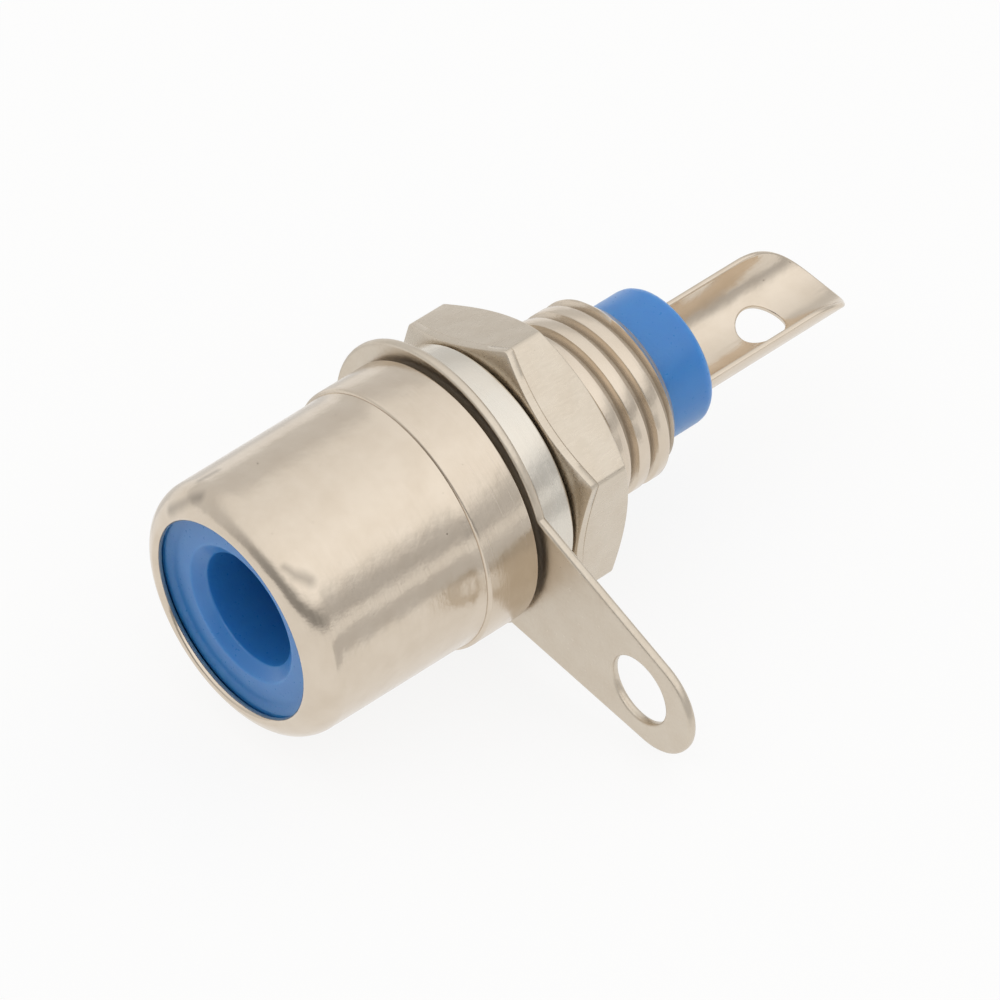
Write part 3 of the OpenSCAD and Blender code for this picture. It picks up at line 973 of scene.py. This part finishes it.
class SOCKET_OT_stage(bpy.types.Operator):
    """Add the floor, the studio light and the camera"""

    bl_idname = "socket.stage"
    bl_label = "Stage"

    def execute(self, context):
        stage, colours = context.scene.socket_stage, context.scene.socket_colours
        self.floor(stage, colours, CAD_BOX[0].z)
        self.tent(context.scene, stage)
        self.cards(stage, CAD_BOX)
        self.camera(context.scene, stage)
        context.scene.view_settings.view_transform = "Standard"
        return {"FINISHED"}

    def floor(self, stage, colours, height):
        """White paper, curved up at its far rim. Most of it glows white to the eye and to the metal; the rest
        takes the shadow."""
        form = bmesh.new()
        rim = arc((stage.floor_r, stage.floor_rim), stage.floor_rim, -math.pi / 2, 0, steps=6)
        turns = full_turn(steps=96)[:-1]
        rows = [[form.verts.new((r * math.cos(t), r * math.sin(t), z)) for t in turns] for r, z in rim]
        form.faces.new(rows[0])
        for low, high in zip(rows, rows[1:]):
            for k in range(len(low)):
                form.faces.new((low[k - 1], low[k], high[k], high[k - 1]))
        mesh = bpy.data.meshes.new("floor")
        form.to_mesh(mesh)
        form.free()
        material, tree = new_material("white paper")
        paper = add_node(tree, "ShaderNodeBsdfDiffuse", {"Color": (*colours.floor, 1)})
        glow = add_node(tree, "ShaderNodeEmission", {"Color": (1, 1, 1, 1), "Strength": 1.0})
        path = add_node(tree, "ShaderNodeLightPath").outputs
        shown = path["Is Camera Ray"]
        for ray in ("Is Glossy Ray", "Is Transmission Ray"):
            shown = add_node(
                tree, "ShaderNodeMath", {0: shown, 1: path[ray]}, operation="MAXIMUM"
            ).outputs["Value"]
        glowing = add_node(
            tree, "ShaderNodeMath", {0: shown, 1: stage.floor_glow}, operation="MULTIPLY"
        ).outputs["Value"]
        both = add_node(
            tree, "ShaderNodeMixShader", {0: glowing, 1: paper.outputs["BSDF"], 2: glow.outputs["Emission"]}
        )
        add_node(tree, "ShaderNodeOutputMaterial", {"Surface": both.outputs["Shader"]})
        mesh.materials.append(material)
        made = bpy.data.objects.new("floor", mesh)
        made.location.z = height
        bpy.context.scene.collection.objects.link(made)

    def tent(self, scene, stage):
        """White tent: its top is brightest on the right, its wall is greyer and dims to the front right."""
        world = bpy.data.worlds.new("white tent")
        world.use_nodes = True
        tree = world.node_tree
        tree.nodes.clear()
        direction = add_node(tree, "ShaderNodeTexCoord").outputs["Generated"]
        toward = add_node(tree, "ShaderNodeSeparateXYZ", {"Vector": direction}).outputs
        wall = add_node(
            tree,
            "ShaderNodeMapRange",
            {"Value": toward["X"], "From Min": -1.0, "To Min": stage.wall_left, "To Max": stage.wall_right},
        ).outputs["Result"]
        front = add_node(
            tree, "ShaderNodeMath", {0: toward["X"], 1: TENT_SIDE, 2: toward["Y"]}, operation="MULTIPLY_ADD"
        ).outputs["Value"]
        dimmed = add_node(
            tree,
            "ShaderNodeMapRange",
            {
                "Value": front,
                "From Min": TENT_FRONT[0],
                "From Max": TENT_FRONT[1],
                "To Min": stage.wall_front,
                "To Max": 1.0,
            },
            interpolation_type="SMOOTHSTEP",
        ).outputs["Result"]
        wall = add_node(tree, "ShaderNodeMath", {0: wall, 1: dimmed}, operation="MULTIPLY").outputs["Value"]
        top = add_node(
            tree,
            "ShaderNodeMapRange",
            {
                "Value": toward["X"],
                "From Min": TENT_SPAN[0],
                "From Max": TENT_SPAN[1],
                "To Min": stage.sky_left,
                "To Max": stage.sky_right,
            },
        ).outputs["Result"]
        height = add_node(
            tree, "ShaderNodeMath", {0: toward["X"], 1: TENT_LEAN, 2: toward["Z"]}, operation="MULTIPLY_ADD"
        ).outputs["Value"]
        level = add_node(
            tree,
            "ShaderNodeMapRange",
            {
                "Value": height,
                "From Min": TENT_EDGE[0],
                "From Max": TENT_EDGE[1],
                "To Min": wall,
                "To Max": top,
            },
            interpolation_type="SMOOTHSTEP",
        ).outputs["Result"]
        glow = add_node(tree, "ShaderNodeBackground", {"Color": (1, 1, 1, 1), "Strength": level})
        add_node(tree, "ShaderNodeOutputWorld", {"Surface": glow.outputs["Background"]})
        scene.world = world

    def cards(self, stage, box):
        """Low grey cards beside the socket, seen by the metal only: they draw the dark line on its sides."""
        middle = (box[0] + box[1]) / 2
        form = bmesh.new()
        for start, end in CARD_ARCS:
            foot = arc((0, middle.y), stage.card_r, math.radians(start), math.radians(end), steps=24)
            rows = [[form.verts.new((x, y, z)) for z in (box[0].z, 0.0)] for x, y in foot]
            for here, there in zip(rows, rows[1:]):
                form.faces.new((here[0], there[0], there[1], here[1]))
        mesh = bpy.data.meshes.new("grey_cards")
        form.to_mesh(mesh)
        form.free()
        material, tree = new_material("grey card")
        place = add_node(tree, "ShaderNodeTexCoord").outputs["Object"]
        across = add_node(tree, "ShaderNodeSeparateXYZ", {"Vector": place}).outputs["X"]
        level = add_node(
            tree,
            "ShaderNodeMapRange",
            {
                "Value": across,
                "From Min": -stage.card_r,
                "From Max": stage.card_r,
                "To Min": stage.wall_left,
                "To Max": stage.card_right,
            },
        ).outputs["Result"]
        glow = add_node(tree, "ShaderNodeEmission", {"Strength": level})
        add_node(tree, "ShaderNodeOutputMaterial", {"Surface": glow.outputs["Emission"]})
        mesh.materials.append(material)
        made = bpy.data.objects.new("grey_cards", mesh)
        made.visible_camera = False
        made.visible_diffuse = False
        made.visible_transmission = False
        made.visible_shadow = False
        bpy.context.scene.collection.objects.link(made)

    def camera(self, scene, stage):
        """Camera at the photograph's angle."""
        lens = bpy.data.cameras.new("camera")
        lens.lens = stage.lens
        lens.clip_start = stage.clip_start
        lens.clip_end = stage.clip_end
        made = bpy.data.objects.new("camera", lens)
        made.location = stage.camera_place
        made.rotation_euler = Euler(stage.camera_turn)
        scene.collection.objects.link(made)
        scene.camera = made


OPERATORS = (
    SOCKET_OT_shell,
    SOCKET_OT_body,
    SOCKET_OT_insulator,
    SOCKET_OT_contact,
    SOCKET_OT_lug,
    SOCKET_OT_washer,
    SOCKET_OT_nut,
    SOCKET_OT_stage,
)


class SOCKET_PT_panel(bpy.types.Panel):
    """Buttons for the pieces of the socket"""

    bl_idname = "SOCKET_PT_panel"
    bl_label = "Phono Socket"
    bl_space_type = "VIEW_3D"
    bl_region_type = "UI"
    bl_category = "Socket"

    def draw(self, context):
        for operator in OPERATORS:
            self.layout.operator(operator.bl_idname)


GROUPS = {"socket_sizes": SocketSizes, "socket_colours": SocketColours, "socket_stage": SocketStage}


def register():
    for group in GROUPS.values():
        bpy.utils.register_class(group)
    for name, group in GROUPS.items():
        setattr(bpy.types.Scene, name, bpy.props.PointerProperty(type=group))
    for made in (*OPERATORS, SOCKET_PT_panel):
        bpy.utils.register_class(made)


def unregister():
    for made in (SOCKET_PT_panel, *reversed(OPERATORS)):
        bpy.utils.unregister_class(made)
    for name, group in GROUPS.items():
        delattr(bpy.types.Scene, name)
        bpy.utils.unregister_class(group)


def main():
    """Build every piece and the stage."""
    register()
    bpy.ops.socket.shell()
    bpy.ops.socket.body()
    bpy.ops.socket.insulator()
    bpy.ops.socket.contact()
    bpy.ops.socket.lug()
    bpy.ops.socket.washer()
    bpy.ops.socket.nut()
    bpy.ops.socket.stage()


if __name__ == "__main__":
    main()
